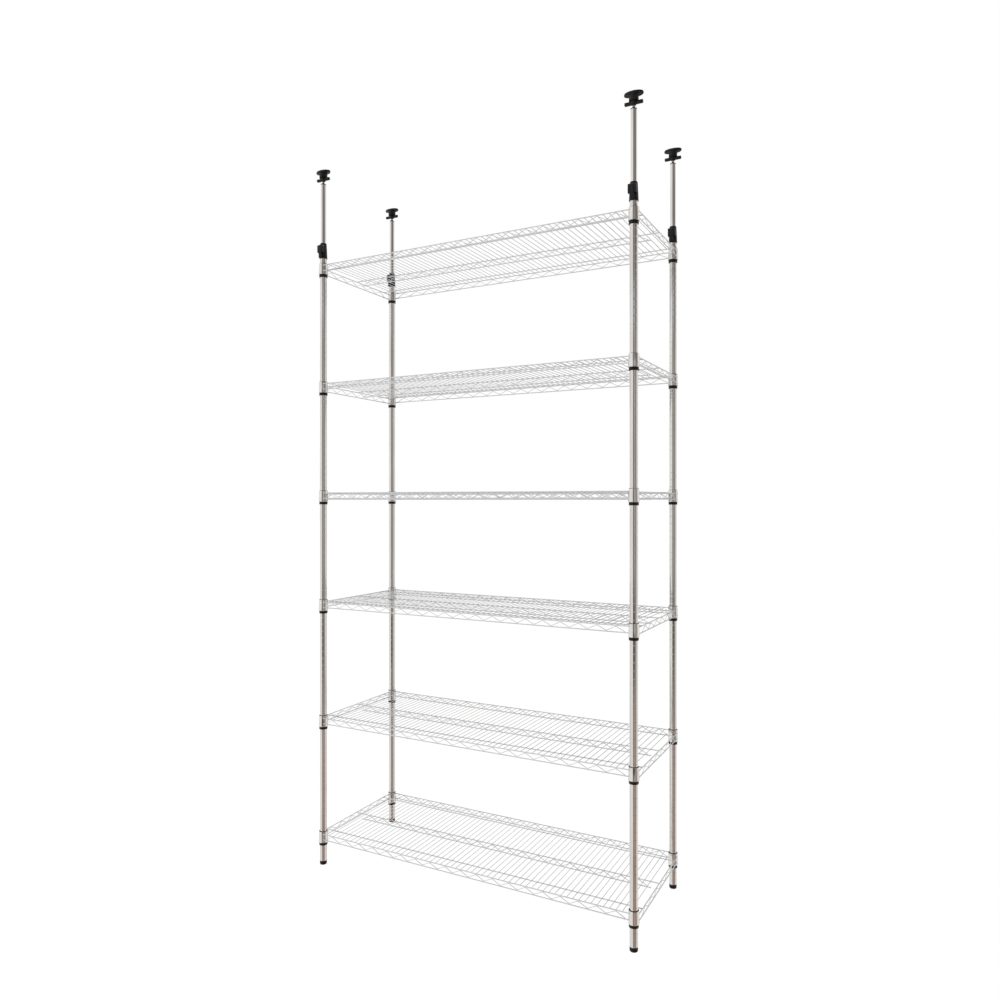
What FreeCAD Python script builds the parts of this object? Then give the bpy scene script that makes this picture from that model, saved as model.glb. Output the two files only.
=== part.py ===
import FreeCAD, Part
import Sketcher
import os
import re

# Wire shelving unit that is wedged between floor and ceiling.
# Six welded wire shelves hang on four grooved posts by split tapered sleeves.
# Every post carries a sliding tension tube with a lock clamp, a screw, a wing handle and a ceiling pad.
# The origin is on the floor midway between the posts: X along the shelves, Y to the back, Z up.

doc = FreeCAD.newDocument("WireShelvingUnit")

# Driving dimensions: alias, value in millimetres or a plain count, meaning
sizes = [
    ("post_span_x", 1185, "post axes, left to right"),
    ("post_span_y", 427, "post axes, front to back"),
    ("post_radius", 12.5, "outside radius of a post"),
    ("post_wall", 1.2, "post tube wall"),
    ("groove_pitch", 25, "spacing of the ring grooves"),
    ("groove_depth", 0.6, "depth of a ring groove"),
    ("groove_half", 0.9, "half width of a ring groove at the surface"),
    ("lower_start", 14.2, "floor to the lower end of a post"),
    ("lower_first", 18.3, "lower end of a post to its first groove"),
    ("lower_notches", 77, "grooves on a lower post"),
    ("upper_first", 9, "lower end of an upper post to its first groove"),
    ("upper_notches", 11, "grooves on an upper post"),
    ("upper_length", 287, "length of an upper post"),
    ("plug_length", 34, "spigot that joins the two posts"),
    ("weld_gap", 0.05, "gap left between welded wires and seated faces"),
    ("fit_gap", 0.2, "gap left between nested round pieces"),
    ("insert_height", 20, "nut plug in the foot end of a post"),
    ("foot_height", 14, "height of a levelling foot"),
    ("foot_rounding", 3, "rounding at the floor edge of a foot"),
    ("foot_bevel", 0.6, "bevel at the top edge of a foot"),
    ("stem_radius", 4, "radius of the levelling stem"),
    ("stem_length", 28, "levelling stem above the foot"),
    ("thread_clear", 0.3, "clearance round a screw in its nut"),
    ("notch_first", 9, "groove of the top shelf, counted on the upper post"),
    ("notch_second", 69, "groove of the second shelf, counted on the lower post"),
    ("notch_third", 53, "groove of the third shelf"),
    ("notch_fourth", 37, "groove of the fourth shelf"),
    ("notch_fifth", 20, "groove of the fifth shelf"),
    ("notch_sixth", 3, "groove of the bottom shelf"),
    ("seat_rise", 6.5, "edge rail above the groove that carries it"),
    ("edge_out", 12, "front and back rails outside the post axis"),
    ("side_out", 15, "side rails outside the post axis"),
    ("side_drop", 3.3, "side rails below the front rails"),
    ("rail_radius", 2.1, "radius of rails and stays"),
    ("truss_height", 19.8, "between the two rails of a truss"),
    ("stay_inset", 51, "stay wires inside the front and back rails"),
    ("deck_radius", 1.15, "radius of a deck wire"),
    ("deck_drop", 1, "deck wires below the front rail axis"),
    ("deck_pitch", 20, "spacing of the deck wires"),
    ("deck_margin", 30, "least room between a full deck wire and the post axis"),
    ("end_wire_past", 5, "outer deck wires past the stays"),
    ("wave_radius", 1.2, "radius of a zigzag wire"),
    ("wave_pitch", 60, "spacing of the zigzag crests"),
    ("wave_margin", 20, "least room between a zigzag's end and the post axis"),
    ("collar_below", 32, "collar below the front rail axis"),
    ("collar_above", 8, "collar above the front rail axis"),
    ("collar_low_wall", 2.1, "collar wall outside the sleeve, lower end"),
    ("collar_top_wall", 1.4, "collar wall outside the sleeve, upper end"),
    ("collar_rim", 0.6, "bevel on the collar's outer rims"),
    ("sleeve_band", 10, "sleeve shown below the collar"),
    ("sleeve_lip", 1.8, "sleeve shown above the collar"),
    ("sleeve_rim", 0.5, "bevel on the sleeve's outer rims"),
    ("sleeve_low_wall", 2.4, "sleeve outside the post, lower end"),
    ("sleeve_top_wall", 1.9, "sleeve outside the post, upper end"),
    ("sleeve_angle", 178, "sweep of one sleeve half"),
    ("ridge_depth", 0.55, "sleeve ridge that sits in a groove"),
    ("clamp_overlap", 20, "post inside the clamp"),
    ("clamp_height", 56.5, "height of a lock clamp"),
    ("clamp_low_wall", 1.9, "clamp outside the post, lower end"),
    ("clamp_top_wall", 2.3, "clamp outside the tube, upper end"),
    ("clamp_shoulder", 3, "height of the sloped shoulder at the clamp's top"),
    ("clamp_rim", 0.9, "shoulder's step inwards"),
    ("cheek_width", 26, "over the two cheeks that hold the lever"),
    ("cheek_low", 20, "underside of the cheeks above the clamp's lower end"),
    ("cheek_top", 47.5, "top of the cheeks above the clamp's lower end"),
    ("cheek_out", 4.5, "front of the cheeks outside the pin axis"),
    ("cheek_bevel", 1.8, "bevel at the front corners of the cheeks"),
    ("pin_reach", 5, "lever pin outside the tube"),
    ("pin_height", 44.5, "lever pin above the clamp's lower end"),
    ("pin_radius", 1.5, "radius of the lever pin"),
    ("pin_recess", 0.2, "pin ends inside the cheeks' outer faces"),
    ("lever_width", 12, "lever between the cheeks"),
    ("lever_out", 5.5, "lever's face outside the pin axis"),
    ("lever_low", 0.8, "free end of the lever above the clamp's lower end"),
    ("lever_tip", 1.8, "bevel at the lever's free end"),
    ("grip_depth", 0.6, "depth of a grip groove across the lever"),
    ("grip_pitch", 4, "spacing of the grip grooves"),
    ("grip_count", 4, "grip grooves on a lever"),
    ("grip_start", 5, "first grip groove above the lever's free end"),
    ("running_gap", 0.3, "gap round a piece that slides or turns"),
    ("pin_gap", 0.1, "gap round the pin in the lever"),
    ("tube_radius", 9.5, "outside radius of the tension tube"),
    ("tube_wall", 1.2, "tension tube wall"),
    ("tube_length", 300, "length of the tension tube"),
    ("tube_shown", 215.5, "tension tube above the clamp as photographed"),
    ("plug_depth", 20, "tube plug inside the tube"),
    ("flange_height", 2.7, "flange of the tube plug"),
    ("flange_bevel", 0.8, "bevel round the flange"),
    ("nose_radius", 5.6, "nose of the tube plug round the screw"),
    ("nose_height", 3, "nose above the flange"),
    ("screw_radius", 4, "radius of the adjuster screw"),
    ("screw_below", 43, "adjuster screw below the tube top"),
    ("spigot_radius", 3, "end of the screw inside the pad"),
    ("spigot_length", 6.3, "length of that end"),
    ("handle_low", 12.7, "underside of the handle boss above the tube top"),
    ("boss_drop", 2.2, "handle boss below the wings"),
    ("boss_low_radius", 6.8, "radius of the boss at its underside"),
    ("boss_radius", 9.5, "radius of the boss between the wings"),
    ("wing_height", 9.5, "height of the wings"),
    ("wing_reach", 28.3, "tip of a wing from the screw axis"),
    ("wing_width", 9, "width of a wing"),
    ("wing_end", 3, "rounding of the wings' upright edges"),
    ("wing_rounding", 1.8, "rounding of the wings' long edges"),
    ("hub_gap", 0.5, "between handle boss and pad hub"),
    ("hub_radius", 14.5, "radius of the pad hub"),
    ("hub_height", 18.3, "height of the pad hub"),
    ("hub_bevel", 1, "bevel at the hub's lower edge"),
    ("pad_length", 60, "ceiling pad, left to right"),
    ("pad_depth", 33, "ceiling pad, front to back"),
    ("pad_height", 4.8, "ceiling pad without its liner"),
    ("pad_rounding", 1.6, "rounding of the pad's lower rim"),
    ("liner_height", 2, "thickness of the pad liner"),
    ("liner_inset", 0.8, "liner inside the pad's outline"),
]

sheet = doc.addObject("Spreadsheet::Sheet", "Size")
for row, (alias, value, meaning) in enumerate(sizes, start=1):
    sheet.set(f"A{row}", meaning)
    sheet.set(f"B{row}", str(value))
    sheet.setAlias(f"B{row}", alias)
doc.recompute()

aliases = {alias for alias, value, meaning in sizes}


def bound(text):
    """Point every size named in a formula at its cell."""
    return re.sub(r"[a-z]\w*", lambda word: f"Size.{word[0]}" if word[0] in aliases else word[0], text)


def number(text):
    return float(sheet.evalExpression(bound(text)))


def bind(thing, **formulas):
    for name, text in formulas.items():
        thing.setExpression(name, bound(text))


# Heights of the stack, as formulas that other formulas build on
lower_length = "(lower_first + lower_notches * groove_pitch)"
upper_base = f"(lower_start + {lower_length})"
clamp_base = f"({upper_base} + upper_length - clamp_overlap)"
tube_top = f"({clamp_base} + clamp_height + tube_shown)"
wing_low = "(handle_low + boss_drop)"
handle_top = f"({wing_low} + wing_height)"
hub_low = f"({handle_top} + hub_gap)"
pad_low = f"({hub_low} + hub_height)"
pad_top = f"({pad_low} + pad_height)"

# Widths that follow the post, the tube and the spacing of the wires
sleeve_low = "(post_radius + sleeve_low_wall)"
sleeve_top = "(post_radius + sleeve_top_wall)"
collar_low = f"({sleeve_low} + collar_low_wall)"
collar_top = f"({sleeve_top} + collar_top_wall)"
clamp_low = "(post_radius + clamp_low_wall)"
clamp_top = "(tube_radius + clamp_top_wall)"
pin_out = "(tube_radius + pin_reach)"
cheek_face = f"({pin_out} + cheek_out)"
lever_face = f"({pin_out} + lever_out)"
lever_back = f"({clamp_low} + running_gap)"
deck_side = "floor((post_span_x / 2 - deck_margin) / deck_pitch)"
long_crests = "(2 * floor((post_span_x / 2 - wave_margin - wave_pitch / 2) / wave_pitch) + 1)"
side_crests = "(2 * floor((post_span_y / 2 - wave_margin) / wave_pitch))"

lower_shelf = "lower_start + lower_first + {} * groove_pitch + seat_rise"
shelf_levels = {
    "1": f"{upper_base} + upper_first + notch_first * groove_pitch + seat_rise",
    "2": lower_shelf.format("notch_second"),
    "3": lower_shelf.format("notch_third"),
    "4": lower_shelf.format("notch_fourth"),
    "5": lower_shelf.format("notch_fifth"),
    "6": lower_shelf.format("notch_sixth"),
}

corners = {
    "fl": ("-post_span_x / 2", "-post_span_y / 2"),
    "fr": ("post_span_x / 2", "-post_span_y / 2"),
    "bl": ("-post_span_x / 2", "post_span_y / 2"),
    "br": ("post_span_x / 2", "post_span_y / 2"),
}


# Sketches and solid features

def new_body(name):
    return doc.addObject("PartDesign::Body", name)


def origin_part(body, role):
    return next(part for part in body.Origin.OriginFeatures if part.Role == role)


def sketch_on(body, name, role="XZ_Plane"):
    sketch = body.newObject("Sketcher::SketchObject", name)
    sketch.AttachmentSupport = [(origin_part(body, role), "")]
    sketch.MapMode = "FlatFace"
    return sketch


def pin_point(sketch, geometry, point, x, y):
    """Tie one sketch point to formulas for both of its coordinates."""
    for kind, axis, text in (("DistanceX", -2, x), ("DistanceY", -1, y)):
        if text == "0":
            sketch.addConstraint(Sketcher.Constraint("PointOnObject", geometry, point, axis))
        else:
            index = sketch.addConstraint(
                Sketcher.Constraint(kind, -1, 1, geometry, point, number(text)))
            sketch.setExpression(f"Constraints[{index}]", bound(text))


def draw_path(sketch, points, closed=False):
    """Straight lines through points that are given as pairs of formulas."""
    spots = [FreeCAD.Vector(number(x), number(y), 0) for x, y in points]
    ends = list(zip(spots, spots[1:] + spots[:1])) if closed else list(zip(spots, spots[1:]))
    lines = sketch.addGeometry([Part.LineSegment(start, end) for start, end in ends])
    for line, following in zip(lines, lines[1:]):
        sketch.addConstraint(Sketcher.Constraint("Coincident", line, 2, following, 1))
    if closed:
        sketch.addConstraint(Sketcher.Constraint("Coincident", lines[-1], 2, lines[0], 1))
    for line, (x, y) in zip(lines, points):
        pin_point(sketch, line, 1, x, y)
    if not closed:
        pin_point(sketch, lines[-1], 2, *points[-1])


def draw_circle(sketch, radius, x="0", y="0"):
    middle = FreeCAD.Vector(number(x), number(y), 0)
    circle = sketch.addGeometry(Part.Circle(middle, FreeCAD.Vector(0, 0, 1), number(radius)))
    pin_point(sketch, circle, 3, x, y)
    index = sketch.addConstraint(Sketcher.Constraint("Radius", circle, number(radius)))
    sketch.setExpression(f"Constraints[{index}]", bound(radius))


def draw_oval(sketch, length, depth):
    """Ellipse centred on the origin, tied to its two widths."""
    reach, half = number(f"({length}) / 2"), number(f"({depth}) / 2")
    oval = sketch.addGeometry(Part.Ellipse(
        FreeCAD.Vector(reach, 0, 0), FreeCAD.Vector(0, half, 0), FreeCAD.Vector(0, 0, 0)))
    pin_point(sketch, oval, 3, "0", "0")
    for kind, end, text in (("EllipseMajorDiameter", FreeCAD.Vector(reach, 0, 0), length),
                            ("EllipseMinorDiameter", FreeCAD.Vector(0, half, 0), depth)):
        width = sketch.addGeometry(Part.LineSegment(-end, end), True)
        sketch.addConstraint(Sketcher.Constraint(f"InternalAlignment:{kind}", width, oval))
        if kind == "EllipseMajorDiameter":
            sketch.addConstraint(Sketcher.Constraint("Horizontal", width))
        index = sketch.addConstraint(Sketcher.Constraint("Distance", width, number(text)))
        sketch.setExpression(f"Constraints[{index}]", bound(text))


def turn(body, sketch, kind="Revolution", angle="360"):
    """Revolve a profile about the body's own axis, or cut with it."""
    feature = body.newObject(f"PartDesign::{kind}", f"{sketch.Name}_{kind}")
    feature.Profile = sketch
    feature.ReferenceAxis = (sketch, ["V_Axis"])
    feature.Midplane = angle != "360"
    bind(feature, Angle=angle)
    doc.recompute()
    return feature


def extrude(body, sketch, length, kind="Pad", middle=True):
    """Pad or pocket a profile, to both sides of its plane when it is a middle one."""
    feature = body.newObject(f"PartDesign::{kind}", f"{sketch.Name}_{kind}")
    feature.Profile = sketch
    feature.SideType = "Symmetric" if middle else "One side"
    bind(feature, Length=length)
    doc.recompute()
    return feature


def repeat(body, feature, role, length, occurrences):
    pattern = body.newObject("PartDesign::LinearPattern", f"{feature.Name}_row")
    pattern.Originals = [feature]
    pattern.Direction = (origin_part(body, role), [""])
    bind(pattern, Length=length, Occurrences=occurrences)
    body.Tip = pattern
    doc.recompute()
    return pattern


def round_edges(body, feature, height, radius):
    """Round every edge that lies flat at one height."""
    level = number(height)
    flat = [f"Edge{index}" for index, edge in enumerate(feature.Shape.Edges, start=1)
            if abs(edge.BoundBox.ZMin - level) < 1e-4 and abs(edge.BoundBox.ZMax - level) < 1e-4]
    fillet = body.newObject("PartDesign::Fillet", f"{feature.Name}_round")
    fillet.Base = (feature, flat)
    bind(fillet, Radius=radius)
    doc.recompute()
    return fillet


def round_upright(body, feature, radius):
    """Round every edge that stands upright."""
    upright = [f"Edge{index}" for index, edge in enumerate(feature.Shape.Edges, start=1)
               if edge.BoundBox.XLength < 1e-4 and edge.BoundBox.YLength < 1e-4]
    fillet = body.newObject("PartDesign::Fillet", f"{feature.Name}_upright")
    fillet.Base = (feature, upright)
    bind(fillet, Radius=radius)
    doc.recompute()
    return fillet


def ring(name, points):
    """Body turned from one closed outline of radius and height formulas."""
    body = new_body(name)
    outline = sketch_on(body, f"{name}_outline")
    draw_path(outline, points, closed=True)
    turn(body, outline)
    return body


def rod(name, radius, length, axis, x="0", y="0", z="0"):
    """Round wire that starts at a point and runs along X, Y or Z."""
    wire = doc.addObject("Part::Cylinder", name)
    turns = {
        "X": FreeCAD.Rotation(FreeCAD.Vector(0, 1, 0), 90),
        "Y": FreeCAD.Rotation(FreeCAD.Vector(1, 0, 0), -90),
        "Z": FreeCAD.Rotation(),
    }
    wire.Placement = FreeCAD.Placement(FreeCAD.Vector(), turns[axis])
    bind(wire, Radius=radius, Height=length)
    move(wire, x, y, z)
    return wire


def move(thing, x="0", y="0", z="0"):
    for axis, text in zip("xyz", (x, y, z)):
        thing.setExpression(f"Placement.Base.{axis}", bound(text))


def group(name, members):
    compound = doc.addObject("Part::Compound", name)
    compound.Links = members
    return compound


def placed(master, name, x="0", y="0", z="0", half_turn=False):
    copy = group(name, [master])
    if half_turn:
        copy.Placement = FreeCAD.Placement(
            FreeCAD.Vector(), FreeCAD.Rotation(FreeCAD.Vector(0, 0, 1), 180))
    move(copy, x, y, z)
    return copy


nodes = []


def node_at_corners(master, stem, z="0"):
    """One named node for each of the four posts."""
    for corner, (x, y) in corners.items():
        nodes.append(placed(master, f"{stem}_{corner}", x, y, z))


def node_of_four(master, name, z="0"):
    """One named node that holds a copy at each of the four posts."""
    copies = [placed(master, f"{name}_{corner}", x, y, z) for corner, (x, y) in corners.items()]
    nodes.append(group(name, copies))


# Posts with their row of ring grooves

def grooved_post(name, length, first, notches):
    post = ring(name, [
        ("post_radius - post_wall", "0"),
        ("post_radius", "0"),
        ("post_radius", length),
        ("post_radius - post_wall", length),
    ])
    notch = sketch_on(post, f"{name}_notch")
    draw_path(notch, [
        ("post_radius - groove_depth", first),
        ("post_radius + groove_depth", f"{first} - 2 * groove_half"),
        ("post_radius + groove_depth", f"{first} + 2 * groove_half"),
    ], closed=True)
    groove = turn(post, notch, "Groove")
    repeat(post, groove, "Z_Axis", f"({notches} - 1) * groove_pitch", notches)
    return post


lower_post = grooved_post("LowerPost", lower_length, "lower_first", "lower_notches")
upper_post = grooved_post("UpperPost", "upper_length - weld_gap", "upper_first", "upper_notches")
node_at_corners(lower_post, "post_lower", "lower_start")
node_at_corners(upper_post, "post_upper", f"{upper_base} + weld_gap")

inside_post = "post_radius - post_wall - fit_gap"
joint_plug = rod("JointPlug", inside_post, "plug_length", "Z")
node_of_four(joint_plug, "post_joint_plugs", f"{upper_base} - plug_length / 2")


# Levelling feet and the nut plugs they screw into

foot_insert = ring("FootInsert", [
    ("stem_radius + thread_clear", "0"),
    (inside_post, "0"),
    (inside_post, "insert_height"),
    ("stem_radius + thread_clear", "insert_height"),
])
node_of_four(foot_insert, "foot_inserts", "lower_start")

foot = ring("Foot", [
    ("0", "0"),
    ("post_radius", "0"),
    ("post_radius", "foot_height - foot_bevel"),
    ("post_radius - foot_bevel", "foot_height"),
    ("stem_radius", "foot_height"),
    ("stem_radius", "foot_height + stem_length"),
    ("0", "foot_height + stem_length"),
])
round_edges(foot, foot.Tip, "0", "foot_rounding")
node_at_corners(foot, "foot")


# Split sleeves: two halves with a ridge in the post's groove and a taper for the collar

sleeve_half = new_body("SleeveHalf")
sleeve_outline = sketch_on(sleeve_half, "SleeveOutline")
sleeve_bore = "post_radius + fit_gap"
draw_path(sleeve_outline, [
    (sleeve_bore, "-collar_below - sleeve_band"),
    (f"{sleeve_low} - sleeve_rim", "-collar_below - sleeve_band"),
    (sleeve_low, "-collar_below - sleeve_band + sleeve_rim"),
    (sleeve_low, "-collar_below"),
    (sleeve_top, "collar_above"),
    (sleeve_top, "collar_above + sleeve_lip - sleeve_rim"),
    (f"{sleeve_top} - sleeve_rim", "collar_above + sleeve_lip"),
    (sleeve_bore, "collar_above + sleeve_lip"),
    (sleeve_bore, "-seat_rise + groove_half"),
    (f"{sleeve_bore} - ridge_depth", "-seat_rise"),
    (sleeve_bore, "-seat_rise - groove_half"),
], closed=True)
turn(sleeve_half, sleeve_outline, angle="sleeve_angle")

sleeve_pair = group("SleevePair", [
    sleeve_half,
    placed(sleeve_half, "OtherSleeveHalf", half_turn=True),
])
for shelf, level in shelf_levels.items():
    node_of_four(sleeve_pair, f"sleeves_{shelf}", level)


# One welded shelf, drawn with its front rail axis at height zero

collar = ring("Collar", [
    (f"{sleeve_low} + fit_gap", "-collar_below"),
    (f"{collar_low} - collar_rim", "-collar_below"),
    (collar_low, "-collar_below + collar_rim"),
    (collar_top, "collar_above - collar_rim"),
    (f"{collar_top} - collar_rim", "collar_above"),
    (f"{sleeve_top} + fit_gap", "collar_above"),
])

edge_y = "(post_span_y / 2 + edge_out)"
side_x = "(post_span_x / 2 + side_out)"
stay_y = f"({edge_y} - stay_inset)"
stay_drop = "(deck_drop + deck_radius + rail_radius + weld_gap)"
stay_half = f"({side_x} - rail_radius - weld_gap)"
deck_half = f"({edge_y} - rail_radius - weld_gap)"
end_wire_x = f"(deck_pitch * ({deck_side} + 1))"

rails = []
for side in ("-", ""):
    for place, drop in (("Top", "0"), ("Low", "truss_height")):
        rails.append(rod(f"Edge{place}Rail", "rail_radius", "post_span_x", "X",
                         "-post_span_x / 2", f"{side}{edge_y}", f"-({drop})"))
        rails.append(rod(f"Side{place}Rail", "rail_radius", "post_span_y", "Y",
                         f"{side}{side_x}", "-post_span_y / 2", f"-({drop}) - side_drop"))

# The rails end on the tapered collars, so a taper of the collar's shape trims them
taper = doc.addObject("Part::Cone", "CollarTaper")
bind(taper, Radius1=f"{collar_low} + weld_gap", Radius2=f"{collar_top} + weld_gap",
     Height="collar_below + collar_above")
trimmed_rails = doc.addObject("Part::Cut", "TrimmedRails")
trimmed_rails.Base = group("Rails", rails)
trimmed_rails.Tool = group("CollarTapers", [
    placed(taper, f"CollarTaper_{corner}", x, y, "-collar_below") for corner, (x, y) in corners.items()])

stays = [
    rod(f"Stay{index}", "rail_radius", f"2 * {stay_half}", "X", f"-{stay_half}", y, f"-{stay_drop}")
    for index, y in enumerate((f"-{stay_y}", "0", stay_y), start=1)]
middle_low_rail = rod("MiddleLowRail", "rail_radius", f"2 * {end_wire_x}", "X",
                      f"-{end_wire_x}", "0", f"-{stay_drop} - truss_height")

deck = new_body("Deck")
deck.AllowCompound = True
deck_end = sketch_on(deck, "DeckWireEnd")
draw_circle(deck_end, "deck_radius", f"-deck_pitch * {deck_side}", "-deck_drop")
deck_wire = extrude(deck, deck_end, f"2 * {deck_half}")
repeat(deck, deck_wire, "X_Axis", f"2 * deck_pitch * {deck_side}", f"2 * {deck_side} + 1")

end_wires = [
    rod("EndWire", "deck_radius", f"2 * ({stay_y} + end_wire_past)", "Y",
        f"{side}{end_wire_x}", f"-{stay_y} - end_wire_past", "-deck_drop")
    for side in ("-", "")]


def zigzag(name, crests, rotation):
    """Bent wire between the rails of a truss, swept along a path with mitred bends."""
    steepness = "(truss_height - 2 * rail_radius - 2 * wave_radius) / (wave_pitch / 2)"
    crest_gap = f"(rail_radius + weld_gap + wave_radius * sqrt(1 + ({steepness})^2))"
    valley = f"-truss_height + {crest_gap}"
    path = doc.addObject("Sketcher::SketchObject", f"{name}Path")
    path.Placement = FreeCAD.Placement(FreeCAD.Vector(), rotation)
    bends = int(number(crests)) * 2 + 1
    draw_path(path, [
        (f"({bend} - {crests}) * wave_pitch / 2" if 2 * bend + 1 != bends else "0",
         valley if bend % 2 == 0 else f"-{crest_gap}")
        for bend in range(bends)])
    section = doc.addObject("Part::Circle", f"{name}Section")
    section.AttachmentSupport = [(path, "Edge1")]
    section.MapMode = "NormalToEdge"
    bind(section, Radius="wave_radius")
    doc.recompute()
    wire = doc.addObject("Part::Sweep", name)
    wire.Sections = [section]
    wire.Spine = (path, [f"Edge{edge}" for edge in range(1, bends)])
    wire.Solid = True
    wire.Transition = "Right corner"
    doc.recompute()
    return wire


along_x = FreeCAD.Rotation(FreeCAD.Vector(1, 0, 0), 90)
along_y = FreeCAD.Rotation(FreeCAD.Vector(1, 1, 1), 120)
long_wave = zigzag("LongZigzag", long_crests, along_x)
side_wave = zigzag("SideZigzag", side_crests, along_y)

waves = [
    placed(long_wave, "FrontZigzag", y=f"-{edge_y}"),
    placed(long_wave, "MiddleZigzag", z=f"-{stay_drop}"),
    placed(long_wave, "BackZigzag", y=edge_y),
    placed(side_wave, "LeftZigzag", x=f"-{side_x}", z="-side_drop"),
    placed(side_wave, "RightZigzag", x=side_x, z="-side_drop"),
]
collars = [placed(collar, f"Collar_{corner}", x, y) for corner, (x, y) in corners.items()]

shelf_weldment = group("ShelfWeldment", (
    [trimmed_rails, middle_low_rail, deck] + stays + end_wires + waves + collars))
for shelf, level in shelf_levels.items():
    nodes.append(placed(shelf_weldment, f"shelf_{shelf}", z=level))


# Lock clamps on the upper posts, each with a lever between two cheeks at the front

clamp = ring("Clamp", [
    ("0", "0"),
    (clamp_low, "0"),
    (clamp_top, "clamp_height - clamp_shoulder"),
    (f"{clamp_top} - clamp_rim", "clamp_height"),
    ("0", "clamp_height"),
])
cheeks = sketch_on(clamp, "Cheeks", "YZ_Plane")
draw_path(cheeks, [
    ("-tube_radius", "cheek_low"),
    (f"-{cheek_face} + cheek_bevel", "cheek_low"),
    (f"-{cheek_face}", "cheek_low + cheek_bevel"),
    (f"-{cheek_face}", "cheek_top - cheek_bevel"),
    (f"-{cheek_face} + cheek_bevel", "cheek_top"),
    ("-tube_radius", "cheek_top"),
], closed=True)
extrude(clamp, cheeks, "cheek_width")

clamp_bore = sketch_on(clamp, "ClampBore")
draw_path(clamp_bore, [
    ("0", "-running_gap"),
    ("post_radius + fit_gap", "-running_gap"),
    ("post_radius + fit_gap", "clamp_overlap + weld_gap"),
    ("tube_radius + running_gap", "clamp_overlap + weld_gap"),
    ("tube_radius + running_gap", "clamp_height + running_gap"),
    ("0", "clamp_height + running_gap"),
], closed=True)
turn(clamp, clamp_bore, "Groove")

# The lever lies in a slot between the cheeks, and its round head in a window behind the pin
lever_head = "(pin_reach - running_gap)"
lever_room = "lever_width + 2 * running_gap"
slot = sketch_on(clamp, "LeverSlot", "YZ_Plane")
draw_path(slot, [
    (f"-{cheek_face} - running_gap", "cheek_low - running_gap"),
    (f"-{clamp_low}", "cheek_low - running_gap"),
    (f"-{clamp_low}", "cheek_top + running_gap"),
    (f"-{cheek_face} - running_gap", "cheek_top + running_gap"),
], closed=True)
extrude(clamp, slot, lever_room, "Pocket")
window = sketch_on(clamp, "LeverWindow", "YZ_Plane")
draw_path(window, [
    (f"-{cheek_face} - running_gap", f"pin_height - {lever_head} - running_gap"),
    ("-tube_radius", f"pin_height - {lever_head} - running_gap"),
    ("-tube_radius", f"pin_height + {lever_head} + running_gap"),
    (f"-{cheek_face} - running_gap", f"pin_height + {lever_head} + running_gap"),
], closed=True)
extrude(clamp, window, lever_room, "Pocket")
pin_hole = sketch_on(clamp, "PinHole", "YZ_Plane")
draw_circle(pin_hole, "pin_radius + weld_gap", f"-{pin_out}", "pin_height")
extrude(clamp, pin_hole, "2 * cheek_width", "Pocket")
node_at_corners(clamp, "clamp", clamp_base)

lever = new_body("Lever")
head = sketch_on(lever, "LeverHead", "YZ_Plane")
draw_circle(head, lever_head, f"-{pin_out}", "pin_height")
extrude(lever, head, "lever_width")
arm = sketch_on(lever, "LeverArm", "YZ_Plane")
draw_path(arm, [
    (f"-{lever_face}", "pin_height"),
    (f"-{lever_face}", "lever_low + lever_tip"),
    (f"-{lever_face} + lever_tip", "lever_low"),
    (f"-{lever_back}", "lever_low"),
    (f"-{lever_back}", "pin_height"),
], closed=True)
extrude(lever, arm, "lever_width")
lever_hole = sketch_on(lever, "LeverHole", "YZ_Plane")
draw_circle(lever_hole, "pin_radius + pin_gap", f"-{pin_out}", "pin_height")
extrude(lever, lever_hole, "2 * lever_width", "Pocket")
grip = sketch_on(lever, "LeverGrip", "YZ_Plane")
draw_path(grip, [
    (f"-{lever_face} + grip_depth", "lever_low + grip_start"),
    (f"-{lever_face} - grip_depth", "lever_low + grip_start - 2 * grip_depth"),
    (f"-{lever_face} - grip_depth", "lever_low + grip_start + 2 * grip_depth"),
], closed=True)
grip_groove = extrude(lever, grip, "2 * lever_width", "Pocket")
repeat(lever, grip_groove, "Z_Axis", "(grip_count - 1) * grip_pitch", "grip_count")
node_at_corners(lever, "lever", clamp_base)

lever_pin = rod("LeverPin", "pin_radius", "cheek_width - 2 * pin_recess", "X",
                "-cheek_width / 2 + pin_recess", f"-{pin_out}", "pin_height")
node_of_four(group("LeverPinSeat", [lever_pin]), "lever_pins", clamp_base)


# Tension tubes with their plug, screw, wing handle and ceiling pad, drawn from the tube's upper end

tube = ring("Tube", [
    ("tube_radius - tube_wall", "-tube_length"),
    ("tube_radius", "-tube_length"),
    ("tube_radius", "0"),
    ("tube_radius - tube_wall", "0"),
])
node_at_corners(tube, "tube", tube_top)

inside_tube = "tube_radius - tube_wall - fit_gap"
plug_bore = "screw_radius + thread_clear"
tube_plug = ring("TubePlug", [
    (plug_bore, "-plug_depth"),
    (inside_tube, "-plug_depth"),
    (inside_tube, "weld_gap"),
    ("tube_radius", "weld_gap"),
    ("tube_radius", "flange_height - flange_bevel"),
    ("tube_radius - flange_bevel", "flange_height"),
    ("nose_radius", "flange_height"),
    ("nose_radius", "flange_height + nose_height"),
    (plug_bore, "flange_height + nose_height"),
])
node_at_corners(tube_plug, "tube_plug", tube_top)

screw = ring("Screw", [
    ("0", "-screw_below"),
    ("screw_radius", "-screw_below"),
    ("screw_radius", handle_top),
    ("spigot_radius", handle_top),
    ("spigot_radius", f"{handle_top} + spigot_length"),
    ("0", f"{handle_top} + spigot_length"),
])
node_at_corners(screw, "screw", tube_top)

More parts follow.
